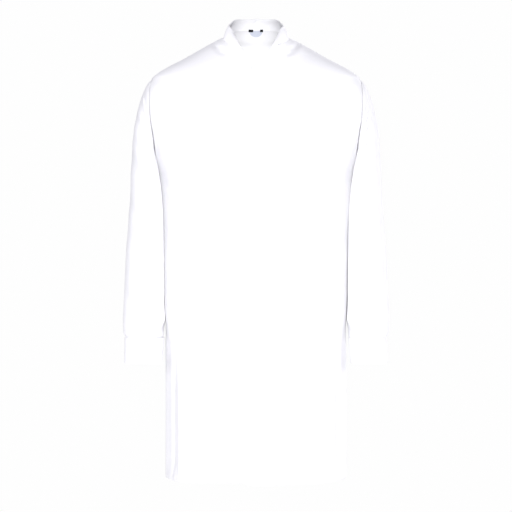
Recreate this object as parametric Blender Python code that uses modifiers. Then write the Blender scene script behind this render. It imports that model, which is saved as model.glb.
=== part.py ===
"""A long white tunic with a stand collar, open at the neck, worn by nobody and standing out as if filled.

It is cut from a front in two halves, a back, a yoke, a stand collar, two front bands, two sleeves
with cuffs, and a small half-round label inside the neck. The sides are slit from the hip down.

Sizes are millimetres. The origin is at the base of the neck, where shoulders would hold the tunic.
+X is the wearer's left, -Y the front and +Z up. Places on the body are given by a height and a
turn: 0 degrees is the centre back, 90 the side or the top of the shoulder, 180 the centre front,
and a minus sign is the wearer's right.
"""

import math

import bmesh
import bpy
import numpy as np

MM = 0.001

CLOTH = 1.2  # thickness of one wall of cloth
COLLAR_CLOTH = 2.0  # the collar and the cuffs are double and stiffened
SEAM_GAP = 0.5  # between two pieces at a seam
LAYER_GAP = 0.3  # between two pieces that lie on each other

HEM = -1003.0  # height of the lower edge
SLIT_TOP = -678.0  # the side seams end here
SLIT_WIDTH = 16.0  # how far front and back hang apart at the hem
UNDERARM = -295.0
SHOULDER_TIP = -92.0
BACK_SEAM = -105.0  # where the yoke meets the back
ARMHOLE_FRONT = 66.0  # half depth of the armhole, forward of the side
ARMHOLE_BACK = 70.0
YOKE_FORWARD = 27.0  # the yoke's front seam lies this far in front of the shoulder's top
NECK_END = 156.3  # turn at which the collar ends, each side of the open neck
YOKE_TURN = 112.0  # turn at which the yoke's front seam meets the neck seam

YOKE_BACK_TURN = 62.0  # turn at the neck opposite the yoke's back corner
YOKE_CROWD = 1.4  # the yoke's points stand closer together near the neck
BAND_WIDTH = 36.0  # the front bands
BAND_SHORT = 3.0  # a band ends this far short of the neck seam
YOKE_STEPS = 8  # rows of points between the neck and the armhole
LAP_LIFT = 2 * CLOTH + 4 * LAYER_GAP  # the left front lies over the right one and its band
LAP_ACROSS = (24, 64)  # and comes down to it between these distances to the left of the centre
LAP_DOWN = (30, 72)  # and between these depths below the origin
CUFF_TOP = -683.0
CUFF_BOTTOM = -741.0
CUFF_LAP = 28.0
CUFF_GIRTH = 246.0
CUFF_START = 262.0  # the turn round the wrist where the cuff's under end begins
SLIT_BAND_TURN = 250.0  # the turn round the wrist of the band above the cuff
SLIT_BAND_HALF = 12.0  # half its width
SLIT_BAND_LENGTH = 118.0
WRIST_EASE = 1.2  # how much the sleeve narrows to go behind the cuff
ARMHOLE_GAP = 0.9  # between the sleeve's head and the panels that it meets
SLEEVE_FREE = -345.0  # below this the sleeve's rings are level
LABEL_RADIUS = 16.0
LABEL_CLOTH = 1.0
LABEL_DROP = 1.5  # the label's top lies this far below the neck seam
TAPE_HALF = 2.5  # half the tape's width
LABEL_TAPES = (("label_tape_left", 10.0, 17.5), ("label_tape_right", -18.5, -7.0))
BUTTON_RADIUS = 5.5
BUTTON_THICK = 2.2
SHARP_ANGLE = 40.0  # edges that turn by more than this look sharp
CALM_DEPTH = (6, 34)  # folds fade out towards the side seams over these depths

# The body's level sections: half width, depth in front and behind, and how square the corner is.
BODY_COLUMNS = ("height", "half_width", "front", "back", "square")
BODY = (
    (34, 57, 60, 62, 2.0),
    (20, 63, 66, 70, 2.1),
    (6, 71, 70, 77, 2.1),
    (-5, 94, 75, 83, 2.2),
    (-44, 163, 88, 94, 2.4),
    (-83, 232, 98, 100, 2.5),
    (-92, 240, 100, 102, 2.5),
    (-130, 242, 108, 107, 2.5),
    (-175, 240, 117, 110, 2.5),
    (-245, 231, 126, 113, 2.6),
    (-295, 227, 130, 112, 2.7),
    (-414, 214, 127, 105, 3.0),
    (-598, 209, 130, 116, 3.2),
    (-665, 207, 133, 124, 3.0),
    (-720, 207, 135, 127, 2.5),
    (-1003, 207, 141, 138, 2.4),
)

# The neck seam's height round the neck, and how the collar rises, leans in and swings back from it.
COLLAR_COLUMNS = ("turn", "seam", "rise", "lean", "swing")
COLLAR = (
    (0, 31, 24, 14, 0),
    (50, 22, 30, 14, 0),
    (90, 6, 35, 16, 0),
    (112, 3, 33, 17, 1),
    (134, -12, 34, 19, 9),
    (156.3, -26, 32, 22, 27),
)

# The open edge of each front: how far it stands to the wearer's left of the centre.
EDGE_COLUMNS = ("height", "left_front", "right_front")
EDGE = (
    (-26, 35.5, -35.5),
    (-38, 27.5, -28.5),
    (-50, 18.5, -22),
    (-64, 7, -16),
    (-75, -4, -13),
    (-86, -14, -9),
    (-98, -18, -1),
    (-115, -18, 9),
    (-135, -18, 16),
    (-155, -18, 18),
    (-1003, -18, 18),
)

# The hanging sleeve's level rings: nearest and furthest side, half depth, and how far forward.
SLEEVE_COLUMNS = ("height", "inner", "outer", "half_depth", "forward")
SLEEVE = (
    (-345, 224, 288, 86, 0),
    (-414, 217, 293, 80, 2),
    (-506, 213, 299, 72, 6),
    (-598, 211, 303, 62, 11),
    (-645, 210.5, 305, 53, 13),
    (-672, 210.5, 304, 42, 14),
    (-683, 211.5, 300, 36, 14),
    (-741, 217, 301, 34, 14),
)

# Soft folds as seen from the front or back: ends, how far the line bows, half width and depth.
FOLD_COLUMNS = ("face", "x1", "z1", "x2", "z2", "bow", "width", "depth")
BODY_FOLDS = (
    ("front", 214, -300, 120, -430, -14, 17, 5.0),
    ("front", -214, -300, -128, -450, 12, 17, 5.0),
    ("front", 196, -690, 188, -960, 4, 9, 5.0),
    ("front", -195, -690, -187, -980, -4, 9, 5.5),
    ("front", 172, -760, 168, -1003, 3, 14, 4.0),
    ("front", -170, -730, -166, -1003, -3, 14, 4.0),
    ("front", 96, -14, 66, -42, -6, 7, 2.5),
    ("front", -96, -14, -66, -42, 6, 7, 2.5),
    ("front", 222, -118, 206, -190, 5, 12, 3.0),
    ("front", -222, -118, -204, -200, -5, 12, 3.0),
    ("back", 120, -120, 92, -520, 10, 22, 5.0),
    ("back", -126, -120, -84, -480, -10, 22, 5.0),
    ("back", 206, -310, 110, -420, -12, 18, 5.0),
    ("back", -206, -310, -122, -440, 12, 18, 5.0),
    ("back", 150, -600, 158, -1003, 5, 18, 5.0),
    ("back", -148, -640, -160, -1003, -5, 18, 5.0),
    ("back", 30, -560, 44, -1003, -6, 24, 4.0),
)
SLEEVE_FOLDS = (
    ("front", 264, -112, 236, -222, -9, 8, 6.0),
    ("front", 276, -158, 234, -252, -8, 8, 5.0),
    ("front", 286, -250, 240, -350, -8, 11, 3.5),
    ("front", 222, -560, 244, -678, -10, 8, 5.0),
    ("front", 262, -640, 266, -684, 0, 6, 3.0),
    ("front", 284, -430, 236, -520, -8, 13, 4.0),
    ("back", 262, -120, 232, -240, -9, 10, 6.0),
    ("back", 280, -190, 236, -300, -8, 11, 5.0),
    ("back", 280, -420, 240, -530, -8, 13, 4.5),
    ("back", 238, -610, 246, -684, 0, 7, 3.0),
    ("back", 262, -620, 262, -684, 0, 6, 3.0),
)

WHITE = ("white_poplin", (0.93, 0.93, 0.95), 0.75)
GREY = ("grey_label", (0.72, 0.75, 0.83), 0.5)
BLACK = ("black_tape", (0.02, 0.02, 0.025), 0.6)
PEARL = ("white_button", (0.9, 0.9, 0.88), 0.25)


# Tables and curves


def column(table, names, name, where):
    """A column of a table at the places asked for, on a smooth curve that never overshoots."""
    rows = sorted(table)
    x = np.array([row[0] for row in rows], float)
    y = np.array([row[names.index(name)] for row in rows], float)
    slope = np.diff(y) / np.diff(x)
    inner = np.where(
        slope[1:] * slope[:-1] > 0,
        2 * slope[1:] * slope[:-1] / (slope[1:] + slope[:-1] + 1e-12),
        0,
    )
    tangent = np.concatenate([[slope[0]], inner, [slope[-1]]])
    at = np.clip(np.asarray(where, float), x[0], x[-1])
    i = np.clip(np.searchsorted(x, at) - 1, 0, len(x) - 2)
    step = x[i + 1] - x[i]
    t = (at - x[i]) / step
    return (
        (1 + 2 * t) * (1 - t) ** 2 * y[i]
        + t * (1 - t) ** 2 * step * tangent[i]
        + t * t * (3 - 2 * t) * y[i + 1]
        - t * t * (1 - t) * step * tangent[i + 1]
    )


def ease(value, start, end):
    """0 at start, 1 at end, and smooth between."""
    t = np.clip((np.asarray(value, float) - start) / (end - start), 0, 1)
    return t * t * (3 - 2 * t)


def fold_depth(folds, front, x, z):
    """How far folds draw the cloth in, at points seen from the front or the back."""
    total = np.zeros(np.broadcast(x, z).shape)
    for face, x1, z1, x2, z2, bow, width, depth in folds:
        along = np.array([x2 - x1, z2 - z1], float)
        length = np.hypot(*along)
        along /= length
        t = ((x - x1) * along[0] + (z - z1) * along[1]) / length
        aside = (x - x1) * along[1] - (z - z1) * along[0]
        aside = aside - bow * 4 * np.clip(t, 0, 1) * (1 - np.clip(t, 0, 1))
        reach = ease(t, -0.12, 0.12) * (1 - ease(t, 0.9, 1.12))
        hollow = depth * np.exp(-((aside / width) ** 2)) * reach
        total += np.where(front == (face == "front"), hollow, 0)
    return total


# The body


def armhole_depth(z, front):
    """Half depth of the armhole at a height: it is an oval between underarm and shoulder tip."""
    middle = (UNDERARM + SHOULDER_TIP) / 2
    half = (SHOULDER_TIP - UNDERARM) / 2
    share = np.clip(1 - ((z - middle) / half) ** 2, 0, 1)
    return np.where(front, ARMHOLE_FRONT, ARMHOLE_BACK) * np.sqrt(share)


def section(z, front):
    """Half width, depth and squareness of the body's section. It is wider than the panels beside
    the armholes, which cut it off."""
    depth = np.where(
        front,
        column(BODY, BODY_COLUMNS, "front", z),
        column(BODY, BODY_COLUMNS, "back", z),
    )
    square = column(BODY, BODY_COLUMNS, "square", z)
    cut = 1 - (armhole_depth(z, front) / depth) ** square
    return column(BODY, BODY_COLUMNS, "half_width", z) / cut ** (1 / square), depth, square


def body(turn, z, lift=0.0):
    """Points of the body's surface and the directions out of it."""
    turn, z = np.broadcast_arrays(np.asarray(turn, float), np.asarray(z, float))
    angle = np.radians(turn)
    front = np.cos(angle) < 0
    side = np.sign(np.sin(angle))
    width, depth, square = section(z, front)
    across = np.abs(np.sin(angle)) ** (2 / square)
    along = np.abs(np.cos(angle)) ** (2 / square)
    facing = np.where(front, -1.0, 1.0)
    point = np.stack([side * width * across, facing * depth * along, z], -1)
    wider, deeper, _ = section(z + 1, front)
    narrower, shallower, _ = section(z - 1, front)
    out = np.stack(
        [
            side * across ** (square - 1) / width,
            facing * along ** (square - 1) / depth,
            -(across**square) * (wider - narrower) / 2 / width
            - along**square * (deeper - shallower) / 2 / depth,
        ],
        -1,
    )
    out /= np.linalg.norm(out, axis=-1, keepdims=True)
    calm = ease(np.abs(point[..., 1]), *CALM_DEPTH)
    drawn = fold_depth(BODY_FOLDS, front, point[..., 0], z) * calm
    return point + out * (lift - drawn)[..., None], out


def turn_at(x, z, front):
    """The turn at which the body's surface stands x beside the centre."""
    width, _, square = section(z, front)
    angle = np.degrees(np.arcsin(np.clip(np.abs(x) / width, 0, 1) ** (square / 2)))
    return np.sign(x) * np.where(front, 180 - angle, angle)


def turn_off_side(distance, z, front):
    """The turn at which the body's surface lies a distance in front of the side, or behind it."""
    _, depth, square = section(z, front)
    angle = np.degrees(np.arccos(np.clip(distance / depth, 0, 1) ** (square / 2)))
    return np.where(front, 180 - angle, angle)


def neck_turn(turn):
    """The body's turn, and the height, of the neck seam in the direction of a plan angle."""
    z = column(COLLAR, COLLAR_COLUMNS, "seam", np.abs(turn))
    width, depth, square = section(z, np.abs(turn) > 90)
    angle = np.radians(np.abs(turn))
    a = (np.abs(np.sin(angle)) / width) ** (square / 2)
    b = (np.abs(np.cos(angle)) / depth) ** (square / 2)
    around = np.degrees(np.arctan2(a, b))
    return np.sign(turn) * np.where(np.abs(turn) > 90, 180 - around, around), z


def spaced(turns, heights, places, lift=0.0):
    """Points along a line on the body, with the directions out. Places is a number of even steps,
    or gives the distances along the line from the line's length."""
    t = np.linspace(0, 1, 161)
    fine_turn = np.interp(t, np.linspace(0, 1, len(turns)), turns)
    fine_z = np.interp(t, np.linspace(0, 1, len(heights)), heights)
    point, _ = body(fine_turn, fine_z)
    run = np.concatenate([[0], np.cumsum(np.linalg.norm(np.diff(point, axis=0), axis=1))])
    length = run[-1]
    distances = places(length) if callable(places) else np.linspace(0, length, places + 1)
    chosen = np.interp(distances, run, t)
    turn = np.interp(chosen, t, fine_turn)
    z = np.interp(chosen, t, fine_z)
    return body(turn, z, lift(body(turn, z)[0]) if callable(lift) else lift)


# Walls of cloth


def material(name, colour, roughness):
    """The named material, made on first use."""
    made = bpy.data.materials.get(name)
    if made is None:
        made = bpy.data.materials.new(name)
        made.use_nodes = True
        shader = made.node_tree.nodes["Principled BSDF"]
        shader.inputs["Base Color"].default_value = (*colour, 1)
        shader.inputs["Roughness"].default_value = roughness
        shader.inputs["Metallic"].default_value = 0
    return made


def add_object(name, work, finish):
    """A mesh object from a bmesh, in the tunic's collection."""
    mesh = bpy.data.meshes.new(name)
    work.to_mesh(mesh)
    work.free()
    mesh.shade_smooth()
    mesh.set_sharp_from_angle(angle=math.radians(SHARP_ANGLE))
    made = bpy.data.objects.new(name, mesh)
    mesh.materials.append(material(*finish))
    bpy.data.collections["tunic"].objects.link(made)
    return made


def wall(name, rows, thickness=CLOTH, finish=WHITE, ring=False, mirrored=False):
    """A sheet of cloth through rows of (points, directions out), with its thickness on the inside.
    Each row of a ring closes on itself. A mirrored sheet ends at the middle of the tunic."""
    points = np.array([row for row, _ in rows])
    first_out = rows[0][1][0]
    if ring:
        points = np.concatenate([points, points[:, :1]], 1)
    work = bmesh.new()
    bmesh.ops.create_grid(
        work, x_segments=points.shape[1] - 1, y_segments=points.shape[0] - 1, size=1
    )
    for vertex, place in zip(work.verts, points.reshape(-1, 3)):
        vertex.co = place * MM
    if ring:
        bmesh.ops.remove_doubles(work, verts=work.verts, dist=MM / 100)
    bmesh.ops.triangulate(work, faces=work.faces, quad_method="SHORT_EDGE")
    work.normal_update()
    work.faces.ensure_lookup_table()
    if work.faces[0].normal.dot(first_out) < 0:
        bmesh.ops.reverse_faces(work, faces=work.faces)
    made = add_object(name, work, finish)
    if mirrored:
        made.modifiers.new("other side", "MIRROR").merge_threshold = 0.0001
    solid = made.modifiers.new("cloth", "SOLIDIFY")
    solid.thickness = thickness * MM
    solid.offset = -1
    solid.use_quality_normals = True


def moved(rows, distance):
    """The same rows, moved out along their directions."""
    return [(points + out * distance, out) for points, out in rows]


# Fronts, back and yoke


def lap_lift(side):
    """How far the left front stands out where it lies over the right one."""

    def lift(point):
        near = 1 - ease(point[..., 0], *LAP_ACROSS)
        return LAP_LIFT * near * ease(-point[..., 2], *LAP_DOWN)

    return lift if side > 0 else 0.0


def side_turn(z, front, side):
    """The outer edge of a front or back: side seam or slit, then the armhole."""
    slit = SLIT_WIDTH / 2 * np.clip((SLIT_TOP - z) / (SLIT_TOP - HEM), 0, 1) ** 0.8
    distance = np.maximum(armhole_depth(z, front), SEAM_GAP / 2 + slit)
    return side * turn_off_side(distance, z, front)


def yoke_corner(front):
    """Where the yoke's seam meets the armhole: its height and distance from the shoulder's top."""
    if not front:
        return BACK_SEAM, float(armhole_depth(BACK_SEAM, False))
    heights = np.linspace(SHOULDER_TIP, SHOULDER_TIP - 40, 400)
    z = float(np.interp(YOKE_FORWARD, armhole_depth(heights, True), heights))
    return z, YOKE_FORWARD


def yoke_front_seam(share, side, gap):
    """Turn and height along the yoke's front seam, from the armhole to the neck."""
    neck, neck_z = neck_turn(YOKE_TURN)
    start_z, forward = yoke_corner(True)
    z = start_z + (neck_z - start_z) * share
    _, depth, square = section(z, True)
    neck_forward = section(neck_z, True)[1] * np.abs(np.cos(np.radians(neck))) ** (
        2 / section(neck_z, True)[2]
    )
    distance = forward + (neck_forward - forward) * share**2
    return side * turn_off_side(distance + gap, z, True), z


def yoke_shares():
    """How far along the yoke's front seam its points stand, closer together near the neck."""
    return 1 - np.linspace(1, 0, YOKE_STEPS + 1) ** YOKE_CROWD


def front_places(length):
    """Distances across a front: two steps over its band and even ones beyond."""
    return np.concatenate([[0, BAND_WIDTH / 2], np.linspace(BAND_WIDTH, length, 11)])


def front_rows(side):
    """One front: from its open edge to the side seam, the armhole, the yoke and the neck."""
    below, beside, above = 17, 7, YOKE_STEPS
    which = "left_front" if side > 0 else "right_front"
    lift = lap_lift(side)
    rows = []
    upper = beside + above
    for j in range(below + upper + 1):
        if j <= below:
            inner_z = outer_z = HEM + (UNDERARM - HEM) * j / below
            outer = side_turn(outer_z, True, side)
        else:
            share = min((j - below) / (upper - 1), 1)
            inner_z = UNDERARM + (COLLAR[-1][1] - BAND_SHORT - UNDERARM) * share
            if j < below + beside:
                half = math.pi * (j - below) / beside
                top_z = yoke_corner(True)[0]
                outer_z = UNDERARM + (top_z - UNDERARM) * (1 - math.cos(half)) / 2
                outer = side_turn(outer_z, True, side)
            else:
                share = yoke_shares()[j - below - beside]
                outer, outer_z = yoke_front_seam(share, side, SEAM_GAP / 2)
        edge_x = float(column(EDGE, EDGE_COLUMNS, which, inner_z))
        inner = float(turn_at(edge_x, inner_z, True))
        outer = float(outer)
        if j == below + upper:
            turns, heights = neck_turn(np.linspace(NECK_END, YOKE_TURN, 9) * side)
            rows.append(spaced(turns, heights, front_places, lift))
            continue
        if inner * outer < 0:  # the edge is past the centre, where turns change sign
            inner += 360 * side
        rows.append(spaced([inner, outer], [inner_z, float(outer_z)], front_places, lift))
    return rows


def fronts():
    """Both fronts, and the band that lies on each along its open edge."""
    for side, word in ((1, "left"), (-1, "right")):
        rows = front_rows(side)
        wall("front_" + word, rows)
        band = [(points[:3], out[:3]) for points, out in rows[:-1]]
        wall("band_" + word, moved(band, LAYER_GAP + CLOTH))


def back():
    """The back, from side seam to side seam and up to the yoke."""
    below, beside, count = 17, 7, 22
    rows = []
    for j in range(below + beside + 1):
        z = HEM + (UNDERARM - HEM) * j / below
        if j > below:
            half = math.pi / 2 * (j - below) / beside
            top = BACK_SEAM - SEAM_GAP
            z = UNDERARM + (top - UNDERARM) * (1 - math.cos(half))
        edge = float(side_turn(z, False, 1))
        rows.append(spaced([-edge, edge], [z, z], count))
    wall("back", rows)


def yoke():
    """The yoke, over both shoulders: its rows run from the neck seam outwards."""
    front_z, _ = yoke_corner(True)
    corner_z, corner = yoke_corner(False)
    over, behind = 6, 9

    def places(length):
        return length * np.linspace(0, 1, YOKE_STEPS + 1) ** YOKE_CROWD

    half = []
    for i in range(over + behind + 1):
        if i <= over:  # round the armhole's top, from the front seam to the back seam
            share = i / over
            distance = -YOKE_FORWARD + (corner + YOKE_FORWARD) * share
            if distance < 0:
                outer_z = SHOULDER_TIP + (front_z - SHOULDER_TIP) * (distance / YOKE_FORWARD) ** 2
            else:
                outer_z = SHOULDER_TIP + (corner_z - SHOULDER_TIP) * (distance / corner) ** 2
            outer = float(turn_off_side(abs(distance), outer_z, distance < 0))
            plan = YOKE_TURN + (YOKE_BACK_TURN - YOKE_TURN) * share
        else:
            share = (i - over) / behind
            start = float(body(turn_off_side(corner, BACK_SEAM, False), BACK_SEAM)[0][0])
            outer_z = BACK_SEAM
            outer = float(turn_at(start * (1 - share), BACK_SEAM, False))
            plan = YOKE_BACK_TURN * (1 - share)
        inner, inner_z = neck_turn(plan)
        if i == 0:
            turns, heights = yoke_front_seam(yoke_shares()[::-1], 1, -SEAM_GAP / 2)
            half.append(body(turns, heights))
        else:
            half.append(spaced([float(inner), outer], [float(inner_z), outer_z], places))
    half[-1][0][:, 0] = 0
    wall("yoke", half, mirrored=True)


# Collar, bands and label


def collar():
    """The stand collar, open at the front, where its ends swing apart."""
    count, rises = 30, 4
    plan = np.linspace(-NECK_END, NECK_END, count + 1)
    turns, seam = neck_turn(plan)
    base, _ = body(turns, seam)
    radians = np.radians(plan)
    radial = np.stack([np.sin(radians), np.cos(radians), 0 * radians], -1)
    sideways = np.stack([np.cos(radians), -np.sin(radians), 0 * radians], -1)
    value = {
        name: column(COLLAR, COLLAR_COLUMNS, name, np.abs(plan))[:, None]
        for name in COLLAR_COLUMNS
    }
    up = np.array([0, 0, 1.0])
    swing = sideways * value["swing"] * -np.sign(plan)[:, None]
    top = base + up * value["rise"] - radial * value["lean"] + swing
    tilt = np.hypot(value["rise"], value["lean"])
    out = (radial * value["rise"] + up * value["lean"]) / tilt
    rows = []
    for j in range(rises + 1):
        share = j / rises
        bow = 1.6 * math.sin(math.pi * share)
        points = base + (top - base) * share + out * bow + up * SEAM_GAP * 1.5 * (1 - share)
        rows.append((points, out))
    wall("collar", rows, COLLAR_CLOTH)


def label():
    """The half-round label under the neck seam inside, and the dark tape at its two ends."""
    top = COLLAR[0][1] - LABEL_DROP
    rows = []
    for share in np.linspace(0, 1, 7):
        down = LABEL_RADIUS * 0.97 * share
        half = math.sqrt(LABEL_RADIUS**2 - down**2)
        x = np.linspace(-half, half, 9)
        rows.append(body(turn_at(x, top - down, False), top - down))
    inside = -(CLOTH + 3 * LAYER_GAP)
    wall("label", moved(rows[::-1], inside), LABEL_CLOTH, GREY)
    for name, start, end in LABEL_TAPES:
        x = np.linspace(start, end, 3)
        rows = [body(turn_at(x, z, False), z) for z in (top - TAPE_HALF, top + TAPE_HALF)]
        wall(name, moved(rows, inside - LABEL_CLOTH - LAYER_GAP), LABEL_CLOTH, BLACK)


# Sleeves and cuffs


def sleeve_ring(z, angles, grow=0.0):
    """A level ring of the sleeve. 0 degrees is next to the body, 90 the front, 180 outside."""
    inner, outer, half_depth, forward = (
        column(SLEEVE, SLEEVE_COLUMNS, name, z) for name in SLEEVE_COLUMNS[1:]
    )
    angle = np.radians(angles)
    middle, half_width = (inner + outer) / 2, (outer - inner) / 2
    x = middle - (half_width + grow) * np.cos(angle)
    y = -forward - (half_depth + grow) * np.sin(angle)
    out = np.stack([-np.cos(angle) * half_depth, -np.sin(angle) * half_width, 0 * angle], -1)
    out /= np.linalg.norm(out, axis=-1, keepdims=True)
    return np.stack([x, y, np.full_like(x, z)], -1), out


def sleeve_rows():
    """Rings of the left sleeve, from the armhole down to the cuff, folds included."""
    cap, arm, count = 9, 12, 24
    angles = (np.arange(count) + 0.5) * 360 / count
    angle = np.radians(angles)
    middle, half = (UNDERARM + SHOULDER_TIP) / 2, (SHOULDER_TIP - UNDERARM) / 2
    z = middle - half * np.cos(angle)
    in_front = np.sin(angle) > 0
    turns = turn_off_side(armhole_depth(z, in_front), z, in_front)
    start, _ = body(turns, z)
    start = start + np.array([ARMHOLE_GAP, 0, 0])
    end, _ = sleeve_ring(SLEEVE_FREE, angles)
    high = (1 - np.cos(angle)) / 2  # 0 at the underarm, 1 at the shoulder
    leave = np.stack([8 + 112 * high, -10 * np.sin(angle), -40 - 60 * high], -1)
    arrive = np.stack([0 * high, 0 * high, -30 - 220 * high], -1)
    rings = []
    for t in np.linspace(0, 1, cap + 1):
        rings.append(
            (1 + 2 * t) * (1 - t) ** 2 * start
            + t * (1 - t) ** 2 * leave
            + t * t * (3 - 2 * t) * end
            - t * t * (1 - t) * arrive
        )
    for z in np.linspace(SLEEVE_FREE, CUFF_TOP + 2 * SEAM_GAP, arm + 1)[1:]:
        shrink = -WRIST_EASE * float(ease(z, CUFF_TOP + 25, CUFF_TOP))
        rings.append(sleeve_ring(z, angles, shrink)[0])
    shape = np.array(rings)
    around = np.roll(shape, -1, 1) - np.roll(shape, 1, 1)
    down = np.gradient(shape, axis=0)
    out = np.cross(around, down)
    out /= np.linalg.norm(out, axis=-1, keepdims=True)
    if out[-1, len(angles) // 2, 0] < 0:
        out = -out
    steady = ease(np.arange(len(shape)), 0, 2)[:, None] * np.abs(np.sin(angle)) ** 0.5
    front_side = np.broadcast_to(in_front, shape.shape[:2])
    drawn = fold_depth(SLEEVE_FOLDS, front_side, shape[..., 0], shape[..., 2]) * steady
    shape = shape - out * drawn[..., None]
    return [(points, directions) for points, directions in zip(shape, out)]


def cuff_rows():
    """The cuff: a band wound once round the wrist, whose end laps over its start."""
    count, steps = 30, 3
    turn = np.linspace(0, 360 * (1 + CUFF_LAP / CUFF_GIRTH), count + 1)
    grow = (COLLAR_CLOTH + LAYER_GAP + 0.2) * ease(turn, 250, 352)
    rows = []
    for share in np.linspace(0, 1, steps + 1):
        z = CUFF_BOTTOM + (CUFF_TOP - CUFF_BOTTOM) * share
        points, out = sleeve_ring(z, CUFF_START - turn)
        rows.append((points + out * grow[:, None], out))
    return rows


def sleeve_band_rows():
    """The narrow band over the slit above the cuff, at the back of the sleeve."""
    rows = []
    for z in np.linspace(CUFF_TOP + 3 * SEAM_GAP, CUFF_TOP + SLIT_BAND_LENGTH, 7):
        half_depth = float(column(SLEEVE, SLEEVE_COLUMNS, "half_depth", z))
        half_turn = math.degrees(SLIT_BAND_HALF / half_depth)
        turns = np.linspace(SLIT_BAND_TURN + half_turn, SLIT_BAND_TURN - half_turn, 4)
        rows.append(sleeve_ring(z, turns, 2 * LAYER_GAP))
    return rows


def button(name, place, out, side):
    """A four-hole shirt button's plain round body, seen flat against the cuff."""
    work = bmesh.new()
    bmesh.ops.create_cone(
        work,
        cap_ends=True,
        segments=20,
        radius1=BUTTON_RADIUS * MM,
        radius2=(BUTTON_RADIUS - 0.5) * MM,
        depth=BUTTON_THICK * MM,
    )
    made = add_object(name, work, PEARL)
    out = out * np.array([side, 1, 1])
    where = place * np.array([side, 1, 1]) + out * (BUTTON_THICK / 2 + LAYER_GAP)
    made.location = where * MM
    made.rotation_euler = (0, math.pi / 2, math.atan2(out[1], out[0]))
    return made


def sleeves():
    """Both sleeves with their cuffs, the right one the mirror of the left one."""
    sleeve, cuff, slit_band = sleeve_rows(), cuff_rows(), sleeve_band_rows()
    for side, word in ((1, "left"), (-1, "right")):
        flip = np.array([side, 1, 1])

        def placed(rows):
            return [(points * flip, out * flip) for points, out in rows]

        wall("sleeve_" + word, placed(sleeve), ring=True)
        wall("cuff_" + word, placed(cuff), COLLAR_CLOTH)
        wall("sleeve_band_" + word, placed(moved(slit_band, LAYER_GAP + CLOTH)))
        middle = len(cuff) // 2
        points, out = cuff[middle]
        button("cuff_button_" + word, points[-2], out[-2], side)


def main():
    for old in list(bpy.data.objects):
        bpy.data.objects.remove(old)
    group = bpy.data.collections.new("tunic")
    bpy.context.scene.collection.children.link(group)
    fronts()
    back()
    yoke()
    collar()
    label()
    sleeves()


main()
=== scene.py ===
# A long white tunic, hollow as if worn: its fine cloth, stitches, buttons, label and light.
# Sizes are millimetres unless a note says otherwise. x is the wearer's left, -y the front, z up.
# Turns are degrees round the body from the centre back: 90 is the wearer's left side, 180 the front.
import math

import bmesh
import bpy
import numpy as np
from mathutils import Matrix, Vector


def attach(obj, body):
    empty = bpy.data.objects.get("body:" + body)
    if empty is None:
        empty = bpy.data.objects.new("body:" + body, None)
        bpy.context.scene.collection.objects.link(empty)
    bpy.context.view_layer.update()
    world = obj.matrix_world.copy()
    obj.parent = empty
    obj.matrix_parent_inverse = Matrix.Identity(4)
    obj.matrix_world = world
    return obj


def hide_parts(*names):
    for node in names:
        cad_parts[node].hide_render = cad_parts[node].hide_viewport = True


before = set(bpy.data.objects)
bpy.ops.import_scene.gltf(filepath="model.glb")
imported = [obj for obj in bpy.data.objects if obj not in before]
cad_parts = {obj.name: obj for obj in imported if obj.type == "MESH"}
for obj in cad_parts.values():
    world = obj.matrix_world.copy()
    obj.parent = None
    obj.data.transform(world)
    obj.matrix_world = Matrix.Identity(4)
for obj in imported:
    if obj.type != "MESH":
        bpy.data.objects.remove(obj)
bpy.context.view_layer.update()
mm = 0.001
print("the packed tunic is loaded")


# Tables, curves and folds


def between(start, end, leave, arrive, t):
    # the place a share t along a path from start to end, with its directions at both
    path = (1 + 2 * t) * (1 - t) ** 2 * start + t * t * (3 - 2 * t) * end
    return path + t * (1 - t) ** 2 * leave - t * t * (1 - t) * arrive


def curve(table, name, at):
    # one column of a table against its first column, on a smooth curve that never overshoots
    key = next(iter(table))
    order = np.argsort(table[key])
    x = np.array(table[key], float)[order]
    y = np.array(table[name], float)[order]
    slope = np.diff(y) / np.diff(x)
    product = slope[1:] * slope[:-1]
    inner = np.where(product > 0, 2 * product / (slope[1:] + slope[:-1] + 1e-12), 0)
    tangent = np.concatenate([[slope[0]], inner, [slope[-1]]])
    at = np.clip(np.asarray(at, float), x[0], x[-1])
    i = np.clip(np.searchsorted(x, at) - 1, 0, len(x) - 2)
    step = x[i + 1] - x[i]
    return between(y[i], y[i + 1], step * tangent[i], step * tangent[i + 1], (at - x[i]) / step)


def ease(value, start, end):
    t = np.clip((np.asarray(value, float) - start) / (end - start), 0, 1)
    return t * t * (3 - 2 * t)


# a crease starts and ends over these shares of its length, with a low ridge on one side
creaseShape = {"start": (-0.12, 0.14), "end": (0.85, 1.12), "ridge": 0.3, "away": 1.9, "wide": 1.1}


def creaseDepth(creases, front, x, z, steep=1.0):
    # how far the creases draw the cloth in. The ridge is on the left of the way from a crease's
    # first end to its last, seen from the front, and a steep under 1 makes that side a wall
    total = np.zeros(np.broadcast(x, z).shape)
    for face, x1, z1, x2, z2, bow, width, depth in creases:
        length = math.hypot(x2 - x1, z2 - z1)
        ax, az = (x2 - x1) / length, (z2 - z1) / length
        t = ((x - x1) * ax + (z - z1) * az) / length
        inside = np.clip(t, 0, 1)
        aside = (x - x1) * az - (z - z1) * ax - bow * 4 * inside * (1 - inside)
        reach = ease(t, *creaseShape["start"]) * (1 - ease(t, *creaseShape["end"]))
        near = np.where(aside < 0, width * steep, width)
        trough = np.exp(-((aside / near) ** 2))
        ridgeWidth = creaseShape["wide"] * width * (0.5 + steep / 2)
        ridge = np.exp(-(((-aside - creaseShape["away"] * width * steep) / ridgeWidth) ** 2))
        hollow = depth * (trough - creaseShape["ridge"] * ridge) * reach
        total += np.where(front == (face == "front"), hollow, 0)
    return total


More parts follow.
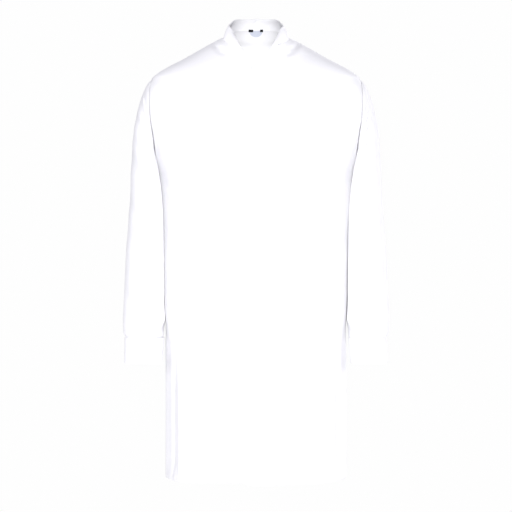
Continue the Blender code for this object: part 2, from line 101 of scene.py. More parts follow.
def slack(x, z, seed, size):
    # the slight unevenness of hanging cloth, longer down than across
    waves = np.random.default_rng(seed).uniform(0, 1, (7, 4))
    total = 0
    for a, b, c, d in waves:
        across = 0.018 + 0.05 * a
        down = (b - 0.5) * 0.02
        total = total + np.sin(x * across * (0.7 + c) + z * down + d * 6.3) / (0.7 + a)
    return total * size / 4


# The body's form, as the solids have it

bodyForm = {
    "hem": -1003,
    "slitTop": -678,
    "slitWidth": 16,
    "underarm": -295,
    "shoulderTip": -92,
    "armholeFront": 66,
    "armholeBack": 70,
    "sections": {
        "height": [34, 20, 6, -5, -44, -83, -92, -130, -175, -245, -295, -414, -598, -665, -720, -1003],
        "halfWidth": [57, 63, 71, 94, 163, 232, 240, 242, 240, 231, 227, 214, 209, 207, 207, 207],
        "front": [60, 66, 70, 75, 88, 98, 100, 108, 117, 126, 130, 127, 130, 133, 135, 141],
        "back": [62, 70, 77, 83, 94, 100, 102, 107, 110, 113, 112, 105, 116, 124, 127, 138],
        "square": [2, 2.1, 2.1, 2.2, 2.4, 2.5, 2.5, 2.5, 2.5, 2.6, 2.7, 3, 3.2, 3, 2.5, 2.4],
    },
    # each fold: face, from x, z, to x, z, bow, half width, depth
    "folds": [
        ("front", 214, -300, 120, -430, -14, 17, 5.0),
        ("front", -214, -300, -128, -450, 12, 17, 5.0),
        ("front", 196, -690, 188, -960, 4, 9, 5.0),
        ("front", -195, -690, -187, -980, -4, 9, 5.5),
        ("front", 172, -760, 168, -1003, 3, 14, 4.0),
        ("front", -170, -730, -166, -1003, -3, 14, 4.0),
        ("front", 96, -14, 66, -42, -6, 7, 2.5),
        ("front", -96, -14, -66, -42, 6, 7, 2.5),
        ("front", 222, -118, 206, -190, 5, 12, 3.0),
        ("front", -222, -118, -204, -200, -5, 12, 3.0),
        ("back", 120, -120, 92, -520, 10, 22, 5.0),
        ("back", -126, -120, -84, -480, -10, 22, 5.0),
        ("back", 206, -310, 110, -420, -12, 18, 5.0),
        ("back", -206, -310, -122, -440, 12, 18, 5.0),
        ("back", 150, -600, 158, -1003, 5, 18, 5.0),
        ("back", -148, -640, -160, -1003, -5, 18, 5.0),
        ("back", 30, -560, 44, -1003, -6, 24, 4.0),
    ],
    # the smaller creases that only the fine cloth has
    "creases": [
        ("front", 54, 2, 53, -36, 2, 5, 1.6),
        ("front", -54, 2, -53, -34, -2, 5, 1.6),
        ("front", 99, -12, 74, -29, -4, 3.2, 1.5),
        ("front", -99, -12, -76, -28, 4, 3.2, 1.5),
        ("front", 88, -22, 64, -66, 5, 6, 1.0),
        ("front", 206, -150, 150, -300, -12, 9, 1.3),
        ("front", -208, -160, -158, -280, 10, 8, 1.2),
        ("front", 205, -330, 158, -372, -5, 6, 1.6),
        ("front", -205, -340, -166, -378, 5, 6, 1.5),
        ("front", 198, -372, 172, -470, -5, 7, 1.3),
        ("front", -198, -380, -168, -500, 6, 7, 1.4),
        ("front", 184, -560, 150, -640, 6, 9, 1.1),
        ("front", -184, -590, -152, -700, -7, 9, 1.1),
        ("front", 60, -560, 74, -760, 9, 16, 0.9),
        ("front", -90, -420, -70, -640, -9, 18, 0.9),
        ("front", 198, -660, 197, -1003, 0, 14, 10.0),
        ("front", -198, -660, -197, -1003, 0, 14, 10.0),
        ("front", 196, -690, 194, -1003, 0, 4, 2.2),
        ("front", 184, -676, 180, -1003, 2, 4, 2.6),
        ("front", -196, -690, -195, -1003, 0, 4, 2.2),
        ("front", -184, -672, -181, -1003, -2, 4, 2.8),
        ("front", 110, -800, 118, -1003, 4, 14, 1.2),
        ("front", -102, -780, -112, -1003, -4, 13, 1.2),
        ("front", -46, -850, -50, -1003, 3, 12, 0.8),
        ("back", 70, -112, 40, -210, 6, 9, 1.4),
        ("back", -74, -112, -44, -240, -6, 9, 1.4),
        ("back", 190, -130, 150, -290, -12, 10, 1.8),
        ("back", -192, -130, -148, -310, 12, 10, 1.8),
        ("back", 200, -340, 150, -372, -5, 7, 1.6),
        ("back", -200, -350, -148, -390, 6, 7, 1.7),
        ("back", 60, -300, 20, -330, -4, 9, 1.1),
        ("back", -70, -330, -16, -352, 4, 9, 1.2),
        ("back", -30, -380, 40, -392, 4, 8, 0.9),
        ("back", 84, -640, 92, -1003, 6, 15, 1.8),
        ("back", -78, -600, -90, -1003, -6, 15, 1.8),
        ("back", -20, -700, -30, -1003, 5, 14, 1.4),
        ("back", 120, -780, 128, -1003, 4, 10, 1.4),
        ("back", -124, -820, -130, -1003, -4, 10, 1.3),
    ],
}


def armholeDepth(z, front):
    middle = (bodyForm["underarm"] + bodyForm["shoulderTip"]) / 2
    half = (bodyForm["shoulderTip"] - bodyForm["underarm"]) / 2
    share = np.clip(1 - ((z - middle) / half) ** 2, 0, 1)
    return np.where(front, bodyForm["armholeFront"], bodyForm["armholeBack"]) * np.sqrt(share)


def section(z, front):
    table = bodyForm["sections"]
    depth = np.where(front, curve(table, "front", z), curve(table, "back", z))
    square = curve(table, "square", z)
    cut = 1 - (armholeDepth(z, front) / depth) ** square
    return curve(table, "halfWidth", z) / cut ** (1 / square), depth, square


def bodyPoint(turn, z):
    # points on the body's plain form, with the directions out of it
    turn, z = np.broadcast_arrays(np.asarray(turn, float), np.asarray(z, float))
    angle = np.radians(turn)
    front = np.cos(angle) < 0
    side = np.sign(np.sin(angle))
    width, depth, square = section(z, front)
    across = np.abs(np.sin(angle)) ** (2 / square)
    along = np.abs(np.cos(angle)) ** (2 / square)
    behind = np.where(front, -1.0, 1.0)
    point = np.stack([side * width * across, behind * depth * along, z], -1)
    wider, deeper, _ = section(z + 1, front)
    narrower, shallower, _ = section(z - 1, front)
    outX = side * across ** (square - 1) / width
    outY = behind * along ** (square - 1) / depth
    outZ = -(across**square) * (wider - narrower) / 2 / width
    outZ = outZ - along**square * (deeper - shallower) / 2 / depth
    out = np.stack([outX, outY, outZ], -1)
    out /= np.linalg.norm(out, axis=-1, keepdims=True)
    return point, out


def turnAt(x, z, front):
    width, _, square = section(z, front)
    angle = np.degrees(np.arcsin(np.clip(np.abs(x) / width, 0, 1) ** (square / 2)))
    return np.sign(x) * np.where(front, 180 - angle, angle)


def turnOffSide(distance, z, front):
    _, depth, square = section(z, front)
    angle = np.degrees(np.arccos(np.clip(distance / depth, 0, 1) ** (square / 2)))
    return np.where(front, 180 - angle, angle)


# Sheets of cloth. A sheet is a grid of points with its directions out and its lengths each way.


def measured(points, out, closed=False):
    u = np.linalg.norm(np.diff(points, axis=1), axis=2)
    v = np.linalg.norm(np.diff(points, axis=0), axis=2)
    zero = np.zeros((len(points), 1))
    u = np.concatenate([zero, np.cumsum(u, 1)], 1)
    v = np.concatenate([np.zeros((1, points.shape[1])), np.cumsum(v, 0)], 0)
    return {"points": points, "out": out, "u": u, "v": v, "closed": closed}


def runAlong(line):
    # each point's distance along a line of points
    steps = np.linalg.norm(np.diff(line, axis=0), axis=1)
    return np.concatenate([[0], np.cumsum(steps)])


def fromEnd(sheet):
    # each point's distance from the sheet's last column
    return sheet["u"][:, -1:] - sheet["u"]


def fromTop(sheet):
    # each point's distance from the sheet's last row
    return sheet["v"][-1:] - sheet["v"]


def facing(points, out, closed=False):
    # directions out of the finished surface, from the surface itself
    if closed:
        core = points[:, :-1]
        across = np.roll(core, -1, 1) - np.roll(core, 1, 1)
        across = np.concatenate([across, across[:, :1]], 1)
    else:
        across = np.gradient(points, axis=1)
    normal = np.cross(across, np.gradient(points, axis=0))
    normal /= np.linalg.norm(normal, axis=2, keepdims=True) + 1e-12
    same = np.sign((normal * out).sum(2, keepdims=True))
    return normal * np.where(same == 0, 1, same)


def moved(sheet, distance):
    distance = np.asarray(distance, float)[..., None]
    return {**sheet, "points": sheet["points"] + sheet["out"] * distance}


def part(sheet, rows, columns):
    # the part of a sheet within these rows and columns
    piece = {**sheet, "closed": False}
    for name in ("points", "out", "u", "v"):
        piece[name] = sheet[name][rows, columns]
    return piece


def onBody(turns, heights, places):
    # turns and heights hold a line for each row: points are set along it at the distances given
    turn, z = [], []
    for line, height, along in zip(turns, heights, measured(*bodyPoint(turns, heights))["u"]):
        at = places(along[-1])
        turn.append(np.interp(at, along, line))
        z.append(np.interp(at, along, height))
    return np.array(turn), np.array(z)


# how the body's cloth lies: in from its form, calm near the sides and slack below the chest
hang = {"inset": -0.25, "calm": (6, 34), "slackBelow": (60, 200), "slack": 0.9}


def draped(turn, z, seed, lift=0):
    # body cloth with its folds, creases and slack
    points, out = bodyPoint(turn, z)
    front = np.cos(np.radians(turn)) < 0
    x = points[..., 0]
    calm = ease(np.abs(points[..., 1]), *hang["calm"])
    depth = creaseDepth(bodyForm["folds"] + bodyForm["creases"], front, x, z)
    loose = ease(-z, *hang["slackBelow"]) * slack(x, z, seed, hang["slack"])
    rise = hang["inset"] + lift + (loose - depth) * calm
    points = points + out * rise[..., None]
    return measured(points, facing(points, out))


def stitchedEdge(sheet, distance, at, fold=0.35, dent=0.3):
    # an edge turned under and stitched: a little thicker up to the stitches, and drawn in at them
    turned = fold * (1 - ease(distance, at - 1.5, at + 0.5)) * ease(distance, -1, 1.5)
    drawn = dent * np.exp(-(((distance - at) / 1.6) ** 2))
    return moved(sheet, turned - drawn)


# Finishes


class Value:
    # a shader value: arithmetic on it adds its Math nodes
    def __init__(self, finish, socket):
        self.finish = finish
        self.socket = socket

    def math(self, operation, first, second=None):
        values = {0: first} if second is None else {0: first, 1: second}
        return self.finish.node("ShaderNodeMath", {"operation": operation}, values)

    def __add__(self, other):
        return self.math("ADD", self, other)

    def __mul__(self, other):
        return self.math("MULTIPLY", self, other)

    def sine(self):
        return self.math("SINE", self)

    __radd__ = __add__
    __rmul__ = __mul__


class Finish:
    def __init__(self, name, **sockets):
        self.material = bpy.data.materials.new(name)
        self.material.use_nodes = True
        self.nodes = self.material.node_tree.nodes
        self.shader = self.nodes["Principled BSDF"]
        for socket, value in sockets.items():
            self.shader.inputs[socket.replace("_", " ")].default_value = value

    def node(self, kind, settings, values, output=0):
        made = self.nodes.new(kind)
        for name, setting in settings.items():
            if name == "stops":
                ramp = made.color_ramp.elements
                while len(ramp) < len(setting):
                    ramp.new(0.5)
                for stop, (position, colour) in zip(ramp, setting):
                    stop.position = position
                    stop.color = (*colour, 1)
            else:
                setattr(made, name, setting)
        for name, value in values.items():
            self.join(made.inputs[name], value)
        return Value(self, made.outputs[output])

    def join(self, socket, value):
        if isinstance(value, Value):
            self.material.node_tree.links.new(value.socket, socket)
        else:
            socket.default_value = value

    def set(self, name, value):
        self.join(self.shader.inputs[name], value)

    def uv(self):
        place = self.node("ShaderNodeUVMap", {"uv_map": "cloth"}, {})
        u = self.node("ShaderNodeSeparateXYZ", {}, {0: place})
        return place, u, Value(self, u.socket.node.outputs[1])

    def noise(self, vector, scale, detail=2.0, stretch=(1, 1, 1)):
        spread = self.node("ShaderNodeMapping", {}, {"Vector": vector, "Scale": stretch})
        return self.node("ShaderNodeTexNoise", {}, {"Vector": spread, "Scale": scale, "Detail": detail})

    def bump(self, height, distance, strength, under=None):
        values = {"Height": height, "Distance": distance, "Strength": strength}
        if under is not None:
            values["Normal"] = under
        return self.node("ShaderNodeBump", {}, values)

    def spot(self):
        return self.node("ShaderNodeTexCoord", {}, {}, "Object")

    def tint(self, look, mask):
        stops = [look["dark"], look["light"]]
        self.set("Base Color", self.node("ShaderNodeValToRGB", {"stops": stops}, {"Fac": mask}))

    def roughen(self, look, mask):
        least, more = look["roughness"]
        self.set("Roughness", mask * more + least)


# Each finish has a dark and a light stop for its pattern, a place and a colour, and its least
# roughness with what the pattern adds. Threads, ribs and heights are in metres, the rest are the
# scales of its noises.

poplin = {
    "dark": (0.25, (0.925, 0.925, 0.945)),
    "light": (0.75, (0.955, 0.952, 0.965)),
    "roughness": (0.78, 0.06),
    "thread": 0.0005,
    "slubs": [(1400, 60, 1), (60, 1400, 1)],
    "crumple": 26,
    "clouds": 5,
    "weaveHeight": 0.00006,
    "crumpleHeight": 0.0011,
}


def poplinFinish():
    finish = Finish("whitePoplin", Sheen_Weight=0.25, Sheen_Roughness=0.45, Specular_IOR_Level=0.25)
    place, u, v = finish.uv()
    turn = 2 * math.pi / poplin["thread"]
    weave = (u * turn).sine() * (v * turn).sine()
    across, down = poplin["slubs"]
    slubs = finish.noise(place, 1, 2.0, across) + finish.noise(place, 1, 2.0, down)
    spot = finish.spot()
    crumple = finish.noise(spot, poplin["crumple"], 4.0, (1, 1, 0.7))
    cloudy = finish.noise(spot, poplin["clouds"], 3.0)
    finish.tint(poplin, cloudy * 0.6 + slubs * 0.2)
    finish.roughen(poplin, slubs)
    crumpled = finish.bump(crumple, poplin["crumpleHeight"], 0.5)
    finish.set("Normal", finish.bump(weave * 0.5 + slubs * 0.5, poplin["weaveHeight"], 0.6, crumpled))
    return finish.material


satin = {
    "dark": (0.3, (0.60, 0.64, 0.76)),
    "light": (0.7, (0.70, 0.73, 0.83)),
    "roughness": (0.38, 0.15),
    "rib": 0.0004,
    "fibres": (300, 4000, 1),
    "ribHeight": 0.00005,
}


def labelFinish():
    # satin woven in fine ribs
    finish = Finish("greyLabel", Sheen_Weight=0.1, Specular_IOR_Level=0.5)
    place, _, v = finish.uv()
    fibres = finish.noise(place, 1, 2.0, satin["fibres"])
    finish.tint(satin, fibres)
    finish.roughen(satin, fibres)
    finish.set("Normal", finish.bump((v * (2 * math.pi / satin["rib"])).sine(), satin["ribHeight"], 0.5))
    return finish.material


twill = {
    "dark": (0.3, (0.006, 0.006, 0.009)),
    "light": (0.8, (0.022, 0.021, 0.026)),
    "roughness": (0.6, 0.2),
    "rib": 0.0007,
    "lint": (900, 900, 1),
    "ribHeight": 0.0001,
}


def tapeFinish():
    finish = Finish("blackTape", Specular_IOR_Level=0.3)
    place, u, v = finish.uv()
    lint = finish.noise(place, 1, 2.0, twill["lint"])
    finish.tint(twill, lint)
    finish.roughen(twill, lint)
    ribs = ((u + v) * (2 * math.pi / twill["rib"])).sine()
    finish.set("Normal", finish.bump(ribs, twill["ribHeight"], 0.6))
    return finish.material


pearl = {
    "dark": (0.3, (0.80, 0.80, 0.79)),
    "light": (0.7, (0.90, 0.90, 0.88)),
    "roughness": (0.18, 0.15),
    "clouds": 260,
    "height": 0.00005,
}


def buttonFinish():
    # pressed plastic with faint pearly clouds
    finish = Finish("whiteButton", Coat_Weight=0.4, Coat_Roughness=0.12)
    clouds = finish.noise(finish.spot(), pearl["clouds"], 4.0, (1, 1, 2.5))
    finish.tint(pearl, clouds)
    finish.roughen(pearl, clouds)
    finish.set("Normal", finish.bump(clouds, pearl["height"], 0.3))
    return finish.material


cotton = {
    "dark": (0.3, (0.88, 0.88, 0.90)),
    "light": (0.7, (0.96, 0.96, 0.965)),
    "roughness": (0.5, 0.2),
    "twist": 2600,
    "height": 0.0001,
}


def threadFinish():
    finish = Finish("whiteThread", Sheen_Weight=0.2, Specular_IOR_Level=0.4)
    twist = finish.noise(finish.spot(), cotton["twist"], 1.0)
    finish.tint(cotton, twist)
    finish.roughen(cotton, twist)
    finish.set("Normal", finish.bump(twist, cotton["height"], 0.4))
    return finish.material


finishes = {
    "white_poplin": poplinFinish(),
    "grey_label": labelFinish(),
    "black_tape": tapeFinish(),
    "white_button": buttonFinish(),
    "thread": threadFinish(),
}
print("the finishes are mixed")


# Making pieces


def meshOf(work, name):
    # the mesh of a bmesh that is then let go
    mesh = bpy.data.meshes.new(name)
    work.to_mesh(mesh)
    work.free()
    return mesh


def finished(name, mesh, slot, replaced=None, finish=None):
    piece = bpy.data.objects.new(name, mesh)
    bpy.context.scene.collection.objects.link(piece)
    mesh.materials.append(finishes[finish or slot])
    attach(piece, "root")
    if replaced:
        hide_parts(replaced)
    return piece


def addCloth(name, sheet, thickness, replaced=None, slot="white_poplin", soften=0.0):
    # lays a fine grid on the sheet's points, with its thickness inwards
    points = sheet["points"]
    rows, columns = points.shape[:2]
    work = bmesh.new()
    bmesh.ops.create_grid(work, x_segments=columns - 1, y_segments=rows - 1, size=1, calc_uvs=False)
    for vertex, place in zip(work.verts, points.reshape(-1, 3) * mm):
        vertex.co = place
    layer = work.loops.layers.uv.new("cloth")
    flat = np.stack([sheet["u"], sheet["v"]], -1).reshape(-1, 2) * mm
    for face in work.faces:
        for loop in face.loops:
            loop[layer].uv = flat[loop.vert.index]
    if sheet["closed"]:
        bmesh.ops.remove_doubles(work, verts=work.verts, dist=mm / 100)
    work.faces.ensure_lookup_table()
    middle = work.faces[len(work.faces) // 2]
    row, column = divmod(len(work.faces) // 2, columns - 1)
    if middle.normal.dot(Vector(sheet["out"][row, column])) < 0:
        bmesh.ops.reverse_faces(work, faces=work.faces)
    mesh = meshOf(work, name)
    mesh.shade_smooth()
    piece = finished(name, mesh, slot, replaced)
    solid = piece.modifiers.new("thickness", "SOLIDIFY")
    solid.thickness = thickness * mm
    solid.offset = -1
    solid.use_quality_normals = True
    if soften:
        rounded = piece.modifiers.new("soft edges", "BEVEL")
        rounded.width = soften * mm
        rounded.segments = 3
        rounded.limit_method = "ANGLE"
        rounded.angle_limit = math.radians(50)
    return piece


def acrossAt(sheet, distance, skip=0):
    # a line of points and directions on the sheet, at this distance from its first column
    line = []
    for row in range(skip, len(sheet["points"]) - skip):
        along = sheet["u"][row]
        if along[0] <= distance <= along[-1]:
            both = np.concatenate([sheet["points"][row], sheet["out"][row]], 1)
            line.append([np.interp(distance, along, each) for each in both.T])
    return np.array(line)


def backwards(sheet):
    # the same sheet counted from its last column
    turned = {**sheet}
    for name in ("points", "out", "v"):
        turned[name] = sheet[name][:, ::-1]
    turned["u"] = fromEnd(sheet)[:, ::-1]
    return turned


def sideways(sheet):
    # the same sheet with its rows and columns changed over
    turned = {**sheet}
    for name in ("points", "out"):
        turned[name] = sheet[name].transpose(1, 0, 2)
    turned["u"], turned["v"] = sheet["v"].T, sheet["u"].T
    return turned


def upsideDown(sheet):
    turned = {**sheet}
    for name in ("points", "out", "u"):
        turned[name] = sheet[name][::-1]
    turned["v"] = fromTop(sheet)[::-1]
    return turned


stitch = {"pitch": 2.6, "length": 1.9, "half": 0.19, "high": 0.16, "rise": 0.4}


def addStitches(name, lines):
    # a row of short threads along each line of points and directions
    work = bmesh.new()
    bmesh.ops.create_uvsphere(work, u_segments=4, v_segments=2, radius=1)
    template = meshOf(work, "oneStitch")
    size = Matrix.Diagonal((stitch["length"] / 2, stitch["half"], stitch["high"], 1))
    work = bmesh.new()
    for line in lines:
        if len(line) < 2:
            continue
        run = runAlong(line[:, :3])
        count = max(2, int(run[-1] / stitch["pitch"]))
        ends = np.linspace(0, run[-1], count + 1)
        places = np.stack([np.interp(ends, run, each) for each in line.T], -1)
        for one, two in zip(places[:-1], places[1:]):
            start, end = Vector(one[:3]), Vector(two[:3])
            up = Vector(one[3:]).normalized()
            along = (end - start).normalized()
            aside = along.cross(up).normalized()
            up = aside.cross(along)
            centre = (start + end) / 2 + up * stitch["high"] * stitch["rise"]
            turn = Matrix((along, aside, up)).transposed().to_4x4()
            before = len(work.verts)
            work.from_mesh(template)
            work.verts.ensure_lookup_table()
            place = Matrix.Scale(mm, 4) @ Matrix.Translation(centre) @ turn @ size
            bmesh.ops.transform(work, matrix=place, verts=work.verts[before:])
    bpy.data.meshes.remove(template)
    mesh = meshOf(work, name)
    mesh.shade_smooth()
    return finished(name, mesh, "white_poplin", finish="thread")


# Fronts and bands

# the heights of the body's rows, closer together at the hem
nearHem = bodyForm["hem"] + np.array([0, 0.7, 1.5, 2.6, 4.2, 6.4])
bodyRows = np.concatenate([nearHem, np.linspace(bodyForm["hem"] + 10, bodyForm["underarm"], 148)])
slitRows = slice(0, int(np.searchsorted(bodyRows, bodyForm["slitTop"])))

hem = {
    "stitches": 17,
    "slitStitches": 9,
    "curl": 0.25,
    "curlHeight": 4.2,
    # where it curls in further: from the centre, half width and size
    "curls": [
        (-62, 30, 6.0),
        (-34, 10, 4.0),
        (-96, 14, 2.4),
        (40, 26, 0.9),
        (120, 34, 1.0),
        (-150, 22, 0.8),
    ],
}


def hemmed(sheet):
    x = sheet["points"][..., 0]
    more = sum(size * np.exp(-(((x - centre) / half) ** 2)) for centre, half, size in hem["curls"])
    sheet = stitchedEdge(sheet, sheet["v"], hem["stitches"])
    return moved(sheet, -(hem["curl"] + more) * np.exp(-((sheet["v"] / hem["curlHeight"]) ** 2)))


fronts = {
    "band": 36,
    "bandLift": 0.45,
    "bandCloth": 0.35,
    "bandStitches": (4, 2.5),  # from the band's free edge, and from its inner one
    "lap": {"lift": 3.6, "beside": (24, 64), "below": (30, 72)},
    "yokeForward": 27,
    "shorter": 4.5,  # the hem of the front underneath
    "neckEnd": 156.3,
    "yokeTurn": 112,
    "rows": {"beside": 46, "above": 44},
    "columns": {"band": 10, "beyond": 54},
    "edge": {
        "height": [-26, -38, -50, -64, -75, -86, -98, -115, -135, -155, -1003],
        "left": [35.5, 27.5, 18.5, 7, -4, -14, -18, -18, -18, -18, -18],
        "right": [-35.5, -28.5, -22, -16, -13, -9, -1, 9, 16, 18, 18],
    },
    "flat": {"size": (0.29, 0.99), "area": 0.283},
    "cloth": 0.5,
}

neckline = {
    "turn": [0, 50, 90, 112, 134, 156.3],
    "seam": [33.5, 27, 9, 3, -12, -26],
    "rise": [21.5, 25, 32, 33, 34, 32],
    "lean": [12.5, 10.5, 14, 17, 19, 22],
    "swing": [0, 0, 0, 1, 9, 27],
}


def neckTurn(plan):
    # the body's turn, and the height, of the neck seam in the direction of a plan angle
    z = curve(neckline, "seam", np.abs(plan))
    front = np.abs(plan) > 90
    width, depth, square = section(z, front)
    angle = np.radians(np.abs(plan))
    a = (np.abs(np.sin(angle)) / width) ** (square / 2)
    b = (np.abs(np.cos(angle)) / depth) ** (square / 2)
    around = np.degrees(np.arctan2(a, b))
    return np.sign(plan) * np.where(front, 180 - around, around), z


def sideTurn(z, front, side):
    top, bottom = bodyForm["slitTop"], bodyForm["hem"]
    slit = bodyForm["slitWidth"] / 2 * np.clip((top - z) / (top - bottom), 0, 1) ** 0.8
    distance = np.maximum(armholeDepth(z, front), 0.1 + slit)
    return side * turnOffSide(distance, z, front)


def yokeCorner():
    heights = np.linspace(bodyForm["shoulderTip"], bodyForm["shoulderTip"] - 40, 400)
    return float(np.interp(fronts["yokeForward"], armholeDepth(heights, True), heights))


def yokeFrontSeam(share, side, gap):
    neck, neckZ = neckTurn(fronts["yokeTurn"])
    z = yokeCorner() + (neckZ - yokeCorner()) * share
    _, neckDepth, neckSquare = section(neckZ, True)
    neckForward = neckDepth * np.abs(np.cos(np.radians(neck))) ** (2 / neckSquare)
    distance = fronts["yokeForward"] + (neckForward - fronts["yokeForward"]) * share**2
    return side * turnOffSide(distance + gap, z, True), z


def lapLift(turn, z):
    # how far the front on top is held off the one underneath
    lap = fronts["lap"]
    x = bodyPoint(turn, z)[0][..., 0]
    return lap["lift"] * (1 - ease(x, *lap["beside"])) * ease(-z, *lap["below"])


def frontSheet(side):
    rows = fronts["rows"]
    below = len(bodyRows) - 1
    upper = rows["beside"] + rows["above"]
    t = np.linspace(0, 1, 121)
    turns, heights = [], []
    neckTurns, neckHeights = neckTurn(np.linspace(fronts["neckEnd"], fronts["yokeTurn"], len(t)) * side)
    bendTurn = neckTurns - (neckTurns[0] + (neckTurns[-1] - neckTurns[0]) * t)
    bendHeight = neckHeights - (neckHeights[0] + (neckHeights[-1] - neckHeights[0]) * t)
    for j in range(below + upper + 1):
        if j <= below:
            innerZ = outerZ = bodyRows[j]
            outer = sideTurn(outerZ, True, side)
            bend = 0
        else:
            k = j - below
            innerZ = bodyForm["underarm"] + (neckline["seam"][-1] - bodyForm["underarm"]) * k / upper
            if k < rows["beside"]:
                share = (1 - math.cos(math.pi * k / rows["beside"])) / 2
                outerZ = bodyForm["underarm"] + (yokeCorner() - bodyForm["underarm"]) * share
                outer = sideTurn(outerZ, True, side)
            else:
                outer, outerZ = yokeFrontSeam((k - rows["beside"]) / rows["above"], side, 0.1)
            bend = float(ease(k / upper, 0.72, 1))
        edgeX = curve(fronts["edge"], "left" if side > 0 else "right", innerZ)
        inner = float(turnAt(edgeX, innerZ, True))
        outer = float(outer)
        if inner * outer < 0:
            inner += 360 * side
        turns.append(inner + (outer - inner) * t + bendTurn * bend)
        heights.append(innerZ + (float(outerZ) - innerZ) * t + bendHeight * bend)

    def places(length):
        onBand = np.linspace(0, fronts["band"], fronts["columns"]["band"] + 1)
        beyond = np.linspace(fronts["band"], length, fronts["columns"]["beyond"])
        return np.concatenate([onBand[:-1], beyond])

    turn, z = onBody(turns, heights, places)
    if side > 0:
        return draped(turn, z, seed=11, lift=lapLift(turn, z))
    return draped(turn, z, seed=12)


def seamRoll(sheet, distance, depth=0.5, width=1.6):
    # the cloth rolls in where two pieces are sewn together
    return moved(sheet, -depth * np.exp(-((distance / width) ** 2)))


def slitShare(sheet):
    # 0 above the side's slit and 1 beside it
    top = bodyForm["slitTop"]
    return ease(-sheet["points"][..., 2], -top - 2, -top + 12)


def sideEdge(sheet, edge, inSlit):
    # a side edge: turned under and stitched beside the slit, and sewn to the next piece above it.
    # Each is moved far off the edge where the other one belongs
    sheet = stitchedEdge(sheet, edge + 200 * (1 - inSlit), hem["slitStitches"])
    return seamRoll(sheet, edge + 60 * inSlit)


for side, word in ((1, "left"), (-1, "right")):
    sheet = frontSheet(side)
    inSlit = slitShare(sheet)
    sheet = hemmed(sheet)
    if word == "right":
        across = ease(sheet["points"][..., 0], -190, -90)
        sheet["points"][..., 2] += fronts["shorter"] * across * (1 - ease(sheet["v"], 0, 150))
    sheet = sideEdge(sheet, fromEnd(sheet), inSlit)
    sheet = seamRoll(sheet, fromTop(sheet))
    front = addCloth(f"front_{word}_cloth", sheet, fronts["cloth"], f"front_{word}")
    band = moved(part(sheet, slice(0, -4), slice(0, fronts["columns"]["band"] + 1)), fronts["bandLift"])
    free, inner = fronts["bandStitches"]
    band = stitchedEdge(band, band["u"], free, 0.15)
    band = stitchedEdge(band, fromEnd(band), inner, 0.1)
    bandPiece = addCloth(f"band_{word}_cloth", band, fronts["bandCloth"], f"band_{word}", soften=0.12)
    hemLine = acrossAt(sideways(sheet), hem["stitches"], skip=2)
    slitLine = acrossAt(backwards(part(sheet, slitRows, slice(None))), hem["slitStitches"])
    bandLines = [acrossAt(band, free), acrossAt(backwards(band), inner)]
    addStitches(f"front_{word}_stitches", [hemLine, slitLine, *bandLines])
print("the fronts and their bands are sewn")


# Back

back = {
    "seam": -105,
    "rows": 42,
    "columns": 116,
    "flat": {"size": (0.53, 0.905), "area": 0.46},
    "cloth": 0.5,
}


def backSheet():
    t = np.linspace(-1, 1, 161)
    turns, heights = [], []
    upper = 1 - np.cos(math.pi / 2 * np.arange(1, back["rows"] + 1) / back["rows"])
    upper = bodyForm["underarm"] + (back["seam"] - 0.1 - bodyForm["underarm"]) * upper
    for z in np.concatenate([bodyRows, upper]):
        turns.append(t * float(sideTurn(z, False, 1)))
        heights.append(np.full_like(t, z))
    turn, z = onBody(turns, heights, lambda length: np.linspace(0, length, back["columns"]))
    return draped(turn, z, seed=21)


sheet = backSheet()
inSlit = slitShare(sheet)
sheet = hemmed(sheet)
for edge in (sheet["u"], fromEnd(sheet)):
    sheet = sideEdge(sheet, edge, inSlit)
sheet = seamRoll(sheet, fromTop(sheet))
backPiece = addCloth("back_cloth", sheet, back["cloth"], "back")
slitPart = part(sheet, slitRows, slice(None))
slitLines = [acrossAt(each, hem["slitStitches"]) for each in (slitPart, backwards(slitPart))]
addStitches("back_stitches", [acrossAt(sideways(sheet), hem["stitches"], skip=2), *slitLines])
print("the back is sewn")


# Yoke

yoke = {
    "columns": 44,
    "over": 30,
    "behind": 50,
    "held": 10,  # rows that still bend with the seam to the front
    "neckCorner": 62,  # the turn on the neck that its back corners' rows run to
    "stitches": 3,
    "flat": {"size": (0.52, 0.2), "area": 0.078},
    "cloth": 0.6,
}


def yokeSheet():
    tip, seam = bodyForm["shoulderTip"], back["seam"]
    forward, corner = fronts["yokeForward"], float(armholeDepth(seam, False))
    frontCorner = yokeCorner()
    start = float(bodyPoint(turnOffSide(corner, seam, False), seam)[0][0])
    t = np.linspace(0, 1, 121)
    turns, heights = [], []
    for i in range(yoke["over"] + yoke["behind"] + 1):
        if i <= yoke["over"]:
            share = i / yoke["over"]
            distance = -forward + (corner + forward) * share
            low, away = (frontCorner, forward) if distance < 0 else (seam, corner)
            outerZ = tip + (low - tip) * (distance / away) ** 2
            outer = float(turnOffSide(abs(distance), outerZ, distance < 0))
            plan = fronts["yokeTurn"] + (yoke["neckCorner"] - fronts["yokeTurn"]) * share
        else:
            share = (i - yoke["over"]) / yoke["behind"]
            outerZ = seam
            outer = float(turnAt(start * (1 - share), seam, False))
            plan = yoke["neckCorner"] * (1 - share)
        inner, innerZ = neckTurn(plan)
        line = inner + (outer - inner) * t
        height = innerZ + (outerZ - innerZ) * t
        if i < yoke["held"]:
            seamTurn, seamZ = yokeFrontSeam(1 - t, 1, -0.1)
            hold = 1 - float(ease(i, 0, yoke["held"]))
            line = line + (seamTurn - line) * hold
            height = height + (seamZ - height) * hold
        turns.append(line)
        heights.append(height)
    turn, z = onBody(turns, heights, lambda length: length * np.linspace(0, 1, yoke["columns"]) ** 1.3)
    turn = np.concatenate([turn, -turn[-2::-1]])
    z = np.concatenate([z, z[-2::-1]])
    return draped(turn, z, seed=31)


